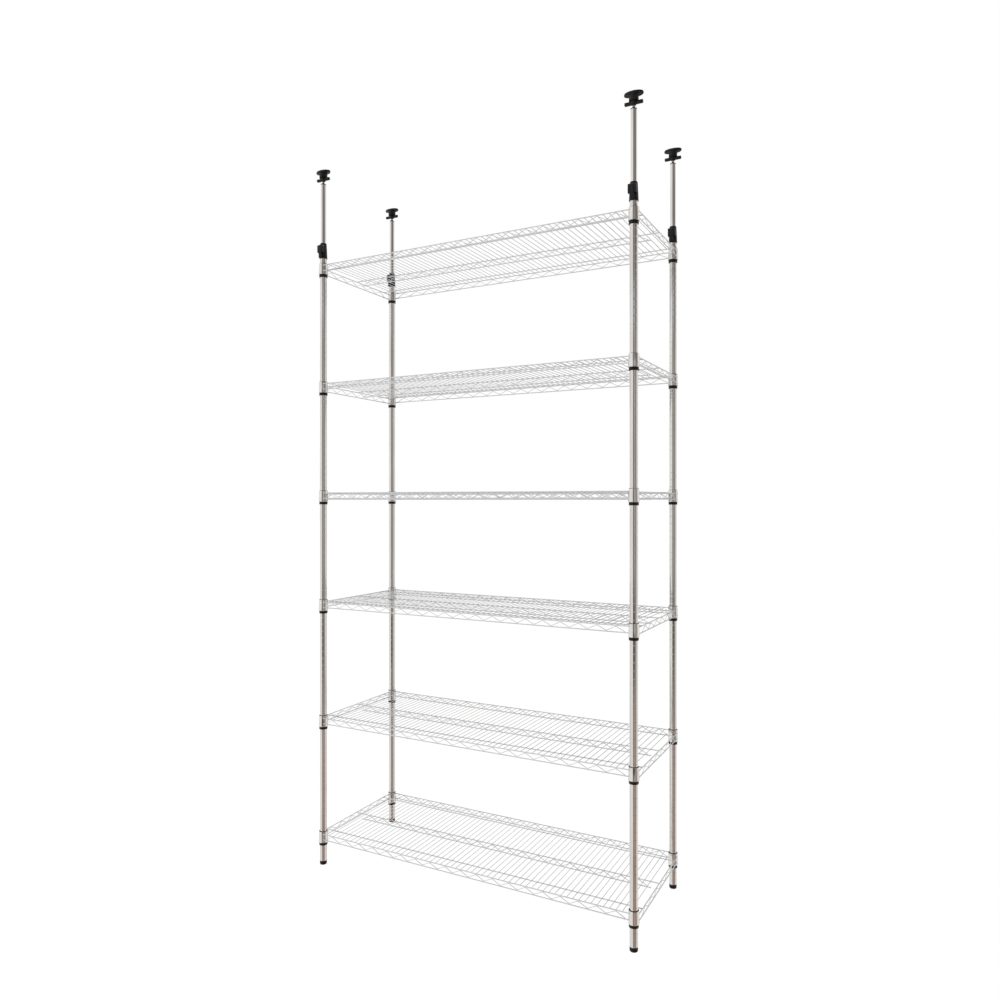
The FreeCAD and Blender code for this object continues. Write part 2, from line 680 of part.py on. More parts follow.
handle = new_body("Handle")
wings = sketch_on(handle, "Wings", "XY_Plane")
wings.AttachmentOffset = FreeCAD.Placement()
wings.setExpression("AttachmentOffset.Base.z", bound(wing_low))
draw_path(wings, [
    ("-wing_reach", "-wing_width / 2"),
    ("wing_reach", "-wing_width / 2"),
    ("wing_reach", "wing_width / 2"),
    ("-wing_reach", "wing_width / 2"),
], closed=True)
bar = extrude(handle, wings, "wing_height", middle=False)
bar = round_upright(handle, bar, "wing_end")
bar = round_edges(handle, bar, wing_low, "wing_rounding")
round_edges(handle, bar, handle_top, "wing_rounding")
boss = sketch_on(handle, "HandleBoss")
draw_path(boss, [
    ("0", "handle_low"),
    ("boss_low_radius", "handle_low"),
    ("boss_radius", f"{wing_low} + wing_height / 2"),
    ("boss_radius", handle_top),
    ("0", handle_top),
], closed=True)
turn(handle, boss)
handle_bore = sketch_on(handle, "HandleBore")
draw_path(handle_bore, [
    ("0", "handle_low - running_gap"),
    ("screw_radius + fit_gap", "handle_low - running_gap"),
    ("screw_radius + fit_gap", f"{handle_top} + running_gap"),
    ("0", f"{handle_top} + running_gap"),
], closed=True)
turn(handle, handle_bore, "Groove")
node_at_corners(handle, "handle", tube_top)

pad = new_body("Pad")
pad_outline = sketch_on(pad, "PadOutline", "XY_Plane")
pad_outline.AttachmentOffset = FreeCAD.Placement()
pad_outline.setExpression("AttachmentOffset.Base.z", bound(pad_low))
draw_oval(pad_outline, "pad_length", "pad_depth")
disc = extrude(pad, pad_outline, "pad_height", middle=False)
round_edges(pad, disc, pad_low, "pad_rounding")
hub_outline = sketch_on(pad, "HubOutline")
draw_path(hub_outline, [
    ("0", hub_low),
    ("hub_radius - hub_bevel", hub_low),
    ("hub_radius", f"{hub_low} + hub_bevel"),
    ("hub_radius", f"{pad_low} + pad_height / 2"),
    ("0", f"{pad_low} + pad_height / 2"),
], closed=True)
turn(pad, hub_outline)
socket = sketch_on(pad, "SpigotSocket")
draw_path(socket, [
    ("0", f"{hub_low} - hub_gap"),
    ("spigot_radius + running_gap", f"{hub_low} - hub_gap"),
    ("spigot_radius + running_gap", f"{handle_top} + spigot_length + running_gap"),
    ("0", f"{handle_top} + spigot_length + running_gap"),
], closed=True)
turn(pad, socket, "Groove")
node_at_corners(pad, "pad", tube_top)

liner = new_body("PadLiner")
liner_outline = sketch_on(liner, "LinerOutline", "XY_Plane")
liner_outline.AttachmentOffset = FreeCAD.Placement()
liner_outline.setExpression("AttachmentOffset.Base.z", bound(f"{pad_top} + weld_gap"))
draw_oval(liner_outline, "(pad_length - 2 * liner_inset)", "(pad_depth - 2 * liner_inset)")
extrude(liner, liner_outline, "liner_height", middle=False)
node_at_corners(liner, "pad_liner", tube_top)


# Every object must have built soundly before anything is written

doc.recompute()
for thing in doc.Objects:
    if "Invalid" in thing.State or "Error" in thing.State:
        raise RuntimeError(f"{thing.Label} did not build: {thing.State}")
os.makedirs("parts", exist_ok=True)
for node in nodes:
    if node.Shape.isNull() or not node.Shape.isValid():
        raise RuntimeError(f"{node.Label} has no sound shape")
    node.Shape.exportStep(f"parts/{node.Label}.step")
print(f"{len(nodes)} nodes written")
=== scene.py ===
import bpy
import math
from mathutils import Matrix, Vector


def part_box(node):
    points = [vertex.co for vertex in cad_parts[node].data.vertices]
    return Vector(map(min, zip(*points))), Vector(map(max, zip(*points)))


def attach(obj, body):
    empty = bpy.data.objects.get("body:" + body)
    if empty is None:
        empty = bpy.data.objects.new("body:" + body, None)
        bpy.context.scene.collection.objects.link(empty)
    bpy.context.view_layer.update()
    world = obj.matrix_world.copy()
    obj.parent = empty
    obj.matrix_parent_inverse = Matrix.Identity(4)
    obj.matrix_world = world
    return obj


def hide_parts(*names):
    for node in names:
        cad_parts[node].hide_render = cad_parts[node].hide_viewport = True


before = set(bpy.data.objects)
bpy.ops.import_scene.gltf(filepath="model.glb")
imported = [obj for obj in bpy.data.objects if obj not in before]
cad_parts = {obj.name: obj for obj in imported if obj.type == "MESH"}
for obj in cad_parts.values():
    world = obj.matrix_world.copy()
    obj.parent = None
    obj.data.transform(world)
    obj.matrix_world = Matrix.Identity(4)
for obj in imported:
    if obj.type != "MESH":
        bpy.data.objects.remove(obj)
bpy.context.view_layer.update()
print("frame loaded,", len(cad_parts), "nodes")

mm = 0.001
mergeGap = 1e-6  # points nearer than this are one point, in metres
corners = ["fl", "fr", "bl", "br"]
shelves = ["1", "2", "3", "4", "5", "6"]


def postMiddle(corner):
    low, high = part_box("post_lower_" + corner)
    middle = (low + high) / 2
    return Vector((middle.x, middle.y, 0))


postSpot = {corner: postMiddle(corner) for corner in corners}
halfX = postSpot["fr"].x / mm
halfY = postSpot["br"].y / mm


# modelling helpers

def deselectAll():
    if bpy.context.mode != "OBJECT":
        bpy.ops.object.mode_set(mode="OBJECT")
    bpy.ops.object.select_all(action="DESELECT")


def pick(obj):
    deselectAll()
    obj.select_set(True)
    bpy.context.view_layer.objects.active = obj


def justAdded(name):
    obj = bpy.context.object
    obj.name = name
    return obj


def startEdit(obj):
    pick(obj)
    bpy.ops.object.mode_set(mode="EDIT")
    bpy.ops.mesh.select_all(action="SELECT")


def endEdit():
    bpy.ops.object.mode_set(mode="OBJECT")


def pull(step):
    bpy.ops.mesh.extrude_region_move(TRANSFORM_OT_translate={"value": step})


def applyPlace(obj):
    pick(obj)
    bpy.ops.object.transform_apply(location=True, rotation=True, scale=True)


def smooth(obj, angle):
    pick(obj)
    bpy.ops.object.shade_smooth_by_angle(angle=math.radians(angle))
    return obj


def joinAll(pieces, name):
    deselectAll()
    for piece in pieces:
        piece.select_set(True)
    bpy.context.view_layer.objects.active = pieces[0]
    bpy.ops.object.join()
    pieces[0].name = name
    pieces[0].data.name = name
    return pieces[0]


def useModifier(obj, kind, **settings):
    pick(obj)
    modifier = obj.modifiers.new(kind.lower(), kind)
    for key, value in settings.items():
        setattr(modifier, key, value)
    bpy.ops.object.modifier_apply(modifier=modifier.name)


def merged(obj, gap=mergeGap, outward=False):
    # joins the points that meet and, if asked, turns the faces outward
    startEdit(obj)
    bpy.ops.mesh.remove_doubles(threshold=gap)
    if outward:
        bpy.ops.mesh.normals_make_consistent(inside=False)
    endEdit()
    return obj


def capped(obj):
    # closes the open end rings
    startEdit(obj)
    bpy.ops.mesh.fill_holes(sides=0)
    bpy.ops.mesh.normals_make_consistent(inside=False)
    endEdit()
    return obj


def turned(name, sides, profile, closed=True):
    # profile: (radius, height) in mm, followed ring by ring from a circle
    deselectAll()
    radius, height = profile[0]
    bpy.ops.mesh.primitive_circle_add(vertices=sides, radius=radius * mm, location=(0, 0, height * mm))
    obj = justAdded(name)
    applyPlace(obj)
    startEdit(obj)
    for nextRadius, nextHeight in profile[1:] + (profile[:1] if closed else []):
        pull((0, 0, (nextHeight - height) * mm))
        grow = nextRadius / radius
        if abs(grow - 1) > 1e-6:  # a straight run needs no resize
            bpy.ops.transform.resize(value=(grow, grow, 1), center_override=(0, 0, nextHeight * mm))
        radius, height = nextRadius, nextHeight
    endEdit()
    return merged(obj, outward=True)


def turnedSolid(name, sides, profile):
    return capped(turned(name, sides, profile, closed=False))


def oval(name, sides, rings):
    # rings: (half length, half depth, height) in mm, from a circle drawn out to an ellipse
    deselectAll()
    long, deep, height = rings[0]
    bpy.ops.mesh.primitive_circle_add(vertices=sides, radius=mm)
    obj = justAdded(name)
    startEdit(obj)
    bpy.ops.transform.resize(value=(long, deep, 1), center_override=(0, 0, 0))
    bpy.ops.transform.translate(value=(0, 0, height * mm))
    for nextLong, nextDeep, nextHeight in rings[1:]:
        pull((0, 0, (nextHeight - height) * mm))
        bpy.ops.transform.resize(value=(nextLong / long, nextDeep / deep, 1),
                                 center_override=(0, 0, nextHeight * mm))
        long, deep, height = nextLong, nextDeep, nextHeight
    endEdit()
    return capped(obj)


def traced(name, points):
    # an edge chain pulled out of one vertex, point by point, in mm
    deselectAll()
    bpy.ops.mesh.primitive_plane_add(size=mm)
    obj = justAdded(name)
    startEdit(obj)
    bpy.ops.mesh.merge(type="CENTER")
    here = Vector(points[0])
    bpy.ops.transform.translate(value=here * mm)
    for there in points[1:]:
        there = Vector(there)
        pull((there - here) * mm)
        here = there
    endEdit()
    return obj


def plate(name, outline, width):
    # a closed outline in the XZ plane, filled and pulled out to a width
    obj = traced(name, [(x, -width / 2, z) for x, z in outline])
    startEdit(obj)
    bpy.ops.mesh.edge_face_add()
    pull((0, width * mm, 0))
    bpy.ops.mesh.select_all(action="SELECT")
    bpy.ops.mesh.normals_make_consistent(inside=False)
    endEdit()
    return obj


def combined(obj, other, operation):
    useModifier(obj, "BOOLEAN", object=other, operation=operation, solver="EXACT")
    bpy.data.objects.remove(other)
    return obj


def fused(obj, other):
    return combined(obj, other, "UNION")


def cut(obj, cutter):
    return combined(obj, cutter, "DIFFERENCE")


def trimmed(obj, sliver=5e-6):
    # clears the slivers that a cut can leave
    startEdit(obj)
    bpy.ops.mesh.remove_doubles(threshold=sliver)
    bpy.ops.mesh.dissolve_degenerate(threshold=sliver)
    endEdit()
    return obj


def eased(obj, width, segments=2, angle=30):
    # moulded edges are never quite sharp
    useModifier(obj, "BEVEL", width=width * mm, segments=segments, limit_method="ANGLE",
                angle_limit=math.radians(angle), use_clamp_overlap=True)
    return obj


# the form of one turn of thread: 1 on the crest or 0 at the root, and the share of the pitch
threadLook = {"depth": 0.61, "steps": 18,
              "form": [(0, 0), (0, 0.12), (1, 0.47), (1, 0.6), (0, 0.95), (0, 1)]}


def threaded(name, radius, pitch, start, turns):
    # one thread ridge wound up the Z axis
    steps, root = threadLook["steps"], radius - threadLook["depth"] * pitch
    ridge = traced(name, [(radius if crest else root, 0, start + share * pitch)
                          for crest, share in threadLook["form"]])
    useModifier(ridge, "SCREW", axis="Z", angle=2 * math.pi, screw_offset=pitch * mm, iterations=turns,
                steps=steps, render_steps=steps, use_smooth_shade=False)
    capped(merged(ridge))
    outermost = max(ridge.data.polygons, key=lambda face: face.center.x)
    if outermost.normal.x < 0:  # it has to face outward along X, or all faces are flipped
        ridge.data.flip_normals()
    return ridge


def turnedAbout(obj, axis, degrees):
    obj.data.transform(Matrix.Rotation(math.radians(degrees), 4, axis))


def copyTo(obj, name, shift):
    copy = obj.copy()
    copy.data = obj.data.copy()
    copy.name = name
    copy.data.name = name
    copy.data.transform(Matrix.Translation(shift))
    bpy.context.scene.collection.objects.link(copy)
    return copy


def dress(obj, material):
    obj.data.materials.clear()
    obj.data.materials.append(material)


def fitAtCorners(master, stem, body, material, shift=(0, 0, 0)):
    # one copy at each post, riding on the body of that corner
    dress(master, material)
    for corner in corners:
        piece = copyTo(master, stem + "Look_" + corner, postSpot[corner] + Vector(shift))
        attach(piece, body.replace("*", corner))
        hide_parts(stem + "_" + corner)
    bpy.data.objects.remove(master)


# materials

noiseSpan = (0.3, 0.7)  # where nearly all of a noise lies


def newMaterial(name):
    material = bpy.data.materials.new(name)
    material.use_nodes = True
    nodes = material.node_tree.nodes
    return material, nodes, material.node_tree.links, nodes["Principled BSDF"]


def noiseOn(nodes, links, scale, detail, stretch=(1, 1, 1)):
    coords = nodes.new("ShaderNodeTexCoord")
    mapping = nodes.new("ShaderNodeMapping")
    mapping.inputs["Scale"].default_value = stretch
    noise = nodes.new("ShaderNodeTexNoise")
    noise.inputs["Scale"].default_value = scale
    noise.inputs["Detail"].default_value = detail
    links.new(coords.outputs["Object"], mapping.inputs["Vector"])
    links.new(mapping.outputs["Vector"], noise.inputs["Vector"])
    return noise.outputs["Fac"]


def rampFrom(nodes, links, source, stops):
    ramp = nodes.new("ShaderNodeValToRGB")
    while len(ramp.color_ramp.elements) < len(stops):
        ramp.color_ramp.elements.new(0.5)
    for element, (place, colour) in zip(ramp.color_ramp.elements, stops):
        element.position = place
        element.color = (*colour, 1)
    links.new(source, ramp.inputs["Fac"])
    return ramp.outputs["Color"]


def rangeFrom(nodes, links, source, old, new):
    spread = nodes.new("ShaderNodeMapRange")
    for socket, value in zip(("From Min", "From Max", "To Min", "To Max"), (*old, *new)):
        spread.inputs[socket].default_value = value
    links.new(source, spread.inputs["Value"])
    return spread.outputs["Result"]


def mottle(nodes, links, shader, look, stretch=(1, 1, 1)):
    # tone and roughness drift together over soft clouds
    cloud = noiseOn(nodes, links, look["cloud"], look["cloudDetail"], stretch)
    tone = rampFrom(nodes, links, cloud, list(zip(noiseSpan, (look["dark"], look["light"]))))
    links.new(tone, shader.inputs["Base Color"])
    links.new(rangeFrom(nodes, links, cloud, noiseSpan, look["rough"]), shader.inputs["Roughness"])


def grainBump(nodes, links, shader, look):
    bump = nodes.new("ShaderNodeBump")
    bump.inputs["Strength"].default_value = look["lift"]
    bump.inputs["Distance"].default_value = look["depth"]
    links.new(noiseOn(nodes, links, look["grain"], look["grainDetail"]), bump.inputs["Height"])
    links.new(bump.outputs["Normal"], shader.inputs["Normal"])


# all chrome has the faint orange peel of its plating
platingLook = {"cloud": 60, "cloudDetail": 4, "grain": 900, "grainDetail": 2,
               "lift": 0.02, "depth": 0.0002}
chromeLook = {
    "wire": {"dark": (0.55, 0.573, 0.6), "light": (0.65, 0.676, 0.706),
             "rough": (0.10, 0.22), "streak": (1, 1, 1)},
    "collar": {"dark": (0.67, 0.665, 0.655), "light": (0.77, 0.76, 0.745),
               "rough": (0.05, 0.12), "streak": (1, 1, 1)},
    "post": {"dark": (0.64, 0.63, 0.615), "light": (0.73, 0.715, 0.70),
             "rough": (0.04, 0.10), "streak": (1, 1, 0.12)},
    "tube": {"dark": (0.65, 0.635, 0.62), "light": (0.74, 0.725, 0.71),
             "rough": (0.04, 0.10), "streak": (1, 1, 0.15)},
}


def chrome(name):
    look = {**platingLook, **chromeLook[name]}
    material, nodes, links, shader = newMaterial(name + "Chrome")
    shader.inputs["Metallic"].default_value = 1
    mottle(nodes, links, shader, look, look["streak"])
    grainBump(nodes, links, shader, look)
    return material


# all plastic has the grain of a spark-eroded mould
mouldLook = {"cloud": 90, "cloudDetail": 5, "grainDetail": 3, "depth": 0.0003}
plasticLook = {
    "black": {"dark": (0.005, 0.005, 0.0055), "light": (0.012, 0.012, 0.013),
              "rough": (0.38, 0.55), "grain": 1400, "lift": 0.12, "shine": 0.25},
    "sleeve": {"dark": (0.005, 0.005, 0.0055), "light": (0.011, 0.011, 0.012),
               "rough": (0.35, 0.5), "grain": 1200, "lift": 0.08, "shine": 0.25},
    "foot": {"dark": (0.006, 0.006, 0.006), "light": (0.014, 0.014, 0.014),
             "rough": (0.5, 0.7), "grain": 1000, "lift": 0.15, "shine": 0.25},
    "hidden": {"dark": (0.05, 0.05, 0.05), "light": (0.09, 0.09, 0.09),
               "rough": (0.5, 0.7), "grain": 900, "lift": 0.1, "shine": 0.4},
    "liner": {"dark": (0.008, 0.008, 0.008), "light": (0.02, 0.02, 0.02),
              "rough": (0.75, 0.95), "grain": 700, "lift": 0.4, "shine": 0.2},
}


def plastic(name):
    look = {**mouldLook, **plasticLook[name]}
    material, nodes, links, shader = newMaterial(name + "Plastic")
    shader.inputs["Specular IOR Level"].default_value = look["shine"]
    mottle(nodes, links, shader, look)
    grainBump(nodes, links, shader, look)
    return material


steelLook = {"dark": (0.42, 0.42, 0.43), "light": (0.58, 0.58, 0.58), "rough": (0.22, 0.4),
             "cloud": 240, "cloudDetail": 5}


def zincSteel():
    material, nodes, links, shader = newMaterial("zincSteel")
    shader.inputs["Metallic"].default_value = 1
    mottle(nodes, links, shader, steelLook)
    return material


wireChrome, collarChrome = chrome("wire"), chrome("collar")
postChrome, tubeChrome = chrome("post"), chrome("tube")
blackPlastic, sleevePlastic, footPlastic = plastic("black"), plastic("sleeve"), plastic("foot")
hiddenPlastic, linerRubber, steel = plastic("hidden"), plastic("liner"), zincSteel()
for node in ("post_joint_plugs", "foot_inserts"):
    dress(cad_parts[node], hiddenPlastic)
print("materials ready")


# grooved posts

postLook = {"radius": 12.5, "wall": 1.2, "rim": 0.4, "sides": 40, "pitch": 25, "depth": 0.6, "half": 0.9,
            "bend": (0.45, 0.55), "lip": 0.08, "rings": (1.5, 2.5),
            "grooves": {"post_lower": (18.3, 77), "post_upper": (9, 11)}}  # first one's height, how many


def groovedPost(length, first, count):
    look = postLook
    radius, rim, pitch = look["radius"], look["rim"], look["pitch"]
    depth, half = look["depth"], look["half"]
    inner, last = radius - look["wall"], first + (count - 1) * pitch
    # half a groove: (depth, distance from its middle), then two rings on the plain tube
    # that keep its shading straight
    flank = [(depth, 0), (look["bend"][0] * depth, look["bend"][1] * half), (look["lip"], half)]
    flank += [(0, ring * half) for ring in look["rings"]]
    span = turned("postSpan", look["sides"],
                  [(radius - deep, first + far) for deep, far in flank]
                  + [(radius - deep, first + pitch - far) for deep, far in flank[::-1]], closed=False)
    useModifier(span, "ARRAY", count=count - 1, use_relative_offset=False, use_constant_offset=True,
                constant_offset_displace=(0, 0, pitch * mm),
                use_merge_vertices=True, merge_threshold=mergeGap)
    ends = turned("postEnds", look["sides"],
                  [(radius - deep, first - far) for deep, far in flank]
                  + [(radius, rim), (radius - rim, 0), (inner, 0),
                     (inner, length), (radius - rim, length), (radius, length - rim)]
                  + [(radius - deep, last + far) for deep, far in flank[::-1]], closed=False)
    post = merged(joinAll([span, ends], "groovedPost"), 2 * mergeGap, outward=True)
    return smooth(post, angle=32)


for stem, (first, count) in postLook["grooves"].items():
    low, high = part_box(stem + "_fl")
    postMaster = groovedPost((high.z - low.z) / mm, first, count)
    fitAtCorners(postMaster, stem, "frame", postChrome, (0, 0, low.z))
print("posts done")


# wire shelf, modelled with its front rail at height zero

wireLook = {"rail": 1.78, "railSides": 16, "deck": 1.04, "deckSides": 10, "wave": 1.02, "truss": 19.8,
            "edgeOut": 12, "edgeShort": 9, "sideOut": 15, "sideShort": 1, "sideDrop": 3.3,
            "stayInset": 51, "stayShort": 1, "deckDrop": 1, "deckShort": 1.4, "pitch": 20, "reach": 28,
            "endOver": 5, "longWaves": 19, "sideWaves": 6, "wavePitch": 60, "rise": 14.8,
            "bend": 4, "bendSteps": 4, "roundness": 2}
# spot welding swells or pinches the ends of a wire: by how much, and how far it reaches
weldLook = {"edge": 1.05, "side": 0.9, "stay": 1.05, "middle": 0.85, "deck": 1.25, "end": 0.8,
            "reach": (0.9, 2.2)}
collarLook = {"sides": 44, "rise": 8, "profile": [
    (15.1, -31.6), (15.5, -32), (16.5, -32), (16.95, -31.5), (16.94, -30),
    (15.83, 6.8), (15.7, 7.7), (15.35, 8), (14.9, 8), (14.6, 7.5)]}


def rod(wire, weld, start, end):
    # a straight wire of one of the two thicknesses, with its welded ends
    radius, sides, swell = wireLook[wire], wireLook[wire + "Sides"], weldLook[weld]
    start, end = Vector(start), Vector(end)
    length = (end - start).length
    near, far = weldLook["reach"]
    tip = [(radius * swell, 0), (radius * (1 + swell) / 2, near), (radius, far)]
    obj = turnedSolid(weld + "Wire", sides, tip + [(wide, length - along) for wide, along in tip[::-1]])
    if end.x > start.x:  # along the shelf, or else from front to back
        turnedAbout(obj, "Y", 90)
    else:
        turnedAbout(obj, "X", -90)
    obj.data.transform(Matrix.Translation(start * mm))
    return obj


def bentWire(name, points):
    # sharp zigzag, its corners rounded, then given the wire's thickness
    look = wireLook
    chain = traced(name, points)
    startEdit(chain)
    bpy.ops.mesh.bevel(offset=look["bend"] * mm, offset_type="OFFSET", segments=look["bendSteps"],
                       affect="VERTICES")
    endEdit()
    pick(chain)
    bpy.ops.object.convert(target="CURVE")
    chain = bpy.context.object
    chain.data.bevel_depth = look["wave"] * mm
    chain.data.bevel_resolution = look["roundness"]
    chain.data.use_fill_caps = True
    bpy.ops.object.convert(target="MESH")
    return bpy.context.object


def zigzag(name, count, alongY=False):
    look = wireLook
    top = -(look["truss"] - look["rise"]) / 2
    points = []
    for bend in range(2 * count + 1):
        run = (bend - count) * look["wavePitch"] / 2
        height = top - look["rise"] if bend % 2 == 0 else top
        points.append((0, run, height) if alongY else (run, 0, height))
    return bentWire(name, points)


def shelfWires():
    look = wireLook
    edge, side = halfY + look["edgeOut"], halfX + look["sideOut"]
    edgeReach, sideReach = halfX - look["edgeShort"], halfY - look["sideShort"]
    stay, stayReach = edge - look["stayInset"], side - look["stayShort"]
    stayDrop = look["deckDrop"] + look["deck"] + look["rail"]
    parts = []
    for sign in (-1, 1):
        x, y = sign * side, sign * edge
        for drop in (0, look["truss"]):
            parts.append(rod("rail", "edge", (-edgeReach, y, -drop), (edgeReach, y, -drop)))
            low = -drop - look["sideDrop"]
            parts.append(rod("rail", "side", (x, -sideReach, low), (x, sideReach, low)))
    for y in (-stay, 0, stay):
        parts.append(rod("rail", "stay", (-stayReach, y, -stayDrop), (stayReach, y, -stayDrop)))
    endX, low = look["pitch"] * (look["reach"] + 1), -stayDrop - look["truss"]
    parts.append(rod("rail", "middle", (-endX, 0, low), (endX, 0, low)))
    firstX, deckLow = -look["pitch"] * look["reach"], -look["deckDrop"]
    deckReach = edge - look["deckShort"]
    deck = rod("deck", "deck", (firstX, -deckReach, deckLow), (firstX, deckReach, deckLow))
    useModifier(deck, "ARRAY", count=2 * look["reach"] + 1, use_relative_offset=False,
                use_constant_offset=True, constant_offset_displace=(look["pitch"] * mm, 0, 0))
    parts.append(deck)
    endReach = stay + look["endOver"]
    for x in (-endX, endX):
        parts.append(rod("deck", "end", (x, -endReach, deckLow), (x, endReach, deckLow)))
    longWave = zigzag("longWave", look["longWaves"])
    sideWave = zigzag("sideWave", look["sideWaves"], alongY=True)
    for shift in ((0, -edge, 0), (0, 0, -stayDrop), (0, edge, 0)):
        parts.append(copyTo(longWave, "truss", Vector(shift) * mm))
    for x in (-side, side):
        parts.append(copyTo(sideWave, "sideTruss", Vector((x, 0, -look["sideDrop"])) * mm))
    bpy.data.objects.remove(longWave)
    bpy.data.objects.remove(sideWave)
    return joinAll(parts, "shelfWires")


def wireShelf():
    wires = shelfWires()
    dress(wires, wireChrome)
    ring = smooth(turned("collar", collarLook["sides"], collarLook["profile"]), angle=50)
    dress(ring, collarChrome)
    rings = [copyTo(ring, "collar_" + corner, postSpot[corner]) for corner in corners]
    bpy.data.objects.remove(ring)
    return smooth(joinAll([wires] + rings, "wireShelf"), angle=40)


def railLevel(number):
    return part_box("shelf_" + number)[1].z - collarLook["rise"] * mm


shelfMaster = wireShelf()
for number in shelves:
    piece = copyTo(shelfMaster, "wireShelf_" + number, (0, 0, railLevel(number)))
    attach(piece, "frame")
    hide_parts("shelf_" + number)
bpy.data.objects.remove(shelfMaster)
print("shelves done")


# split sleeves, two halves under each collar

sleeveLook = {"bore": 12.7, "low": 14.9, "top": 14.4, "below": 32, "above": 8, "band": 10, "lip": 1.2,
              "chamfer": 0.3, "round": 0.5, "roundMid": 0.15, "seat": 6.5, "ridge": 0.55,
              "ridgeHalf": 0.9, "sweep": 178, "steps": 20}


def sleevePair():
    look = sleeveLook
    bore, low, top, seat = look["bore"], look["low"], look["top"], -look["seat"]
    foot, head = -look["below"] - look["band"], look["above"] + look["lip"]
    chamfer, edge, edgeMid, rise = look["chamfer"], look["round"], look["roundMid"], look["ridgeHalf"]
    profile = [(bore, foot + chamfer), (bore + chamfer, foot), (low - edge, foot),
               (low - edgeMid, foot + edgeMid), (low, foot + edge), (low, -look["below"]),
               (top, look["above"]), (top, head - edge), (top - edgeMid, head - edgeMid),
               (top - edge, head), (bore + chamfer, head), (bore, head - chamfer), (bore, seat + rise),
               (bore - look["ridge"], seat), (bore, seat - rise), (bore, foot + chamfer)]
    start = math.radians(-look["sweep"] / 2)
    section = [(out * math.cos(start), out * math.sin(start), z) for out, z in profile]
    half = merged(traced("sleeveHalf", section))
    startEdit(half)
    bpy.ops.mesh.spin(steps=look["steps"], angle=math.radians(look["sweep"]),
                      center=(0, 0, 0), axis=(0, 0, 1))
    endEdit()
    capped(merged(half))
    other = copyTo(half, "otherHalf", (0, 0, 0))
    turnedAbout(other, "Z", 180)
    return smooth(joinAll([half, other], "sleevePair"), angle=35)


pairMaster = sleevePair()
dress(pairMaster, sleevePlastic)
for number in shelves:
    atRail = Vector((0, 0, railLevel(number)))
    pairs = [copyTo(pairMaster, "sleeve", postSpot[corner] + atRail) for corner in corners]
    piece = joinAll(pairs, "sleeveSet_" + number)
    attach(piece, "frame")
    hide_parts("sleeves_" + number)
bpy.data.objects.remove(pairMaster)
print("sleeves done")


# levelling feet on threaded stems

footLook = {"radius": 12.5, "height": 14, "round": 3, "roundSteps": 5, "edge": 0.7, "edgeMid": 0.2,
            "sides": 40, "stem": 4, "stemGap": 0.6, "thread": 1.25, "turns": 22}


def levellingFoot():
    look = footLook
    radius, rounding, height = look["radius"], look["round"], look["height"]
    edge, edgeMid = look["edge"], look["edgeMid"]
    profile = []
    for step in range(look["roundSteps"] + 1):
        lean = math.radians(90 / look["roundSteps"] * step)
        profile.append((radius - rounding + rounding * math.sin(lean),
                        rounding - rounding * math.cos(lean)))
    profile += [(radius, height - edge), (radius - edgeMid, height - edgeMid), (radius - edge, height),
                (look["stem"] + look["stemGap"], height)]
    return smooth(turnedSolid("levellingFoot", look["sides"], profile), angle=35)


fitAtCorners(levellingFoot(), "foot", "foot_*", footPlastic)
stemMaster = threaded("levellingStem", footLook["stem"], footLook["thread"],
                      footLook["height"], footLook["turns"])
smooth(stemMaster, angle=35)
dress(stemMaster, steel)
for corner in corners:
    piece = copyTo(stemMaster, "levellingStem_" + corner, postSpot[corner])
    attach(piece, "foot_" + corner)
bpy.data.objects.remove(stemMaster)
print("feet done")


# lock clamps: socket body with two cheeks at the front, lever and pin between them

clampLook = {"low": 14.4, "top": 11.8, "height": 56.5, "shoulder": 3, "rim": 0.9, "postBore": 12.7,
             "tubeBore": 9.8, "overlap": 20.05, "footEdge": 0.4, "topEdge": 0.3, "sides": 48,
             "cheekRoot": 9.6, "cheekFace": 19, "cheekLow": 20, "cheekTop": 47.5, "cheekBevel": 1.8,
             "cheekEase": 0.5, "cheekOver": 26, "slot": 12.6, "slotSlack": 0.1,
             "windowRoot": 9.5, "windowFace": 21, "windowHalf": 5}
hingeLook = {"out": 14.5, "height": 44.5, "radius": 1.5, "sides": 20, "clampSlack": 0.05,
             "leverSlack": 0.1, "drill": 40, "short": 0.2, "crown": [(0.6, 0), (1.15, 0.12)],
             "crownHeight": 0.45}
leverLook = {"width": 12, "face": 20, "back": 14.7, "waist": 6, "tip": 0.8, "tipBevel": 1.8, "ease": 0.35,
             "grip": 0.6, "gripFirst": 5.8, "gripPitch": 4, "gripCount": 4,
             "head": 4.7, "headFrom": 25, "headSweep": 220, "headSteps": 14}


def onHinge(name, profile):
    # a bar turned along the lever's hinge line
    bar = turnedSolid(name, hingeLook["sides"], profile)
    turnedAbout(bar, "Y", 90)
    bar.data.transform(Matrix.Translation(Vector((0, -hingeLook["out"], hingeLook["height"])) * mm))
    return bar


def drill(name, slack):
    radius, half = hingeLook["radius"] + slack, hingeLook["drill"] / 2
    return onHinge(name, [(radius, -half), (radius, half)])


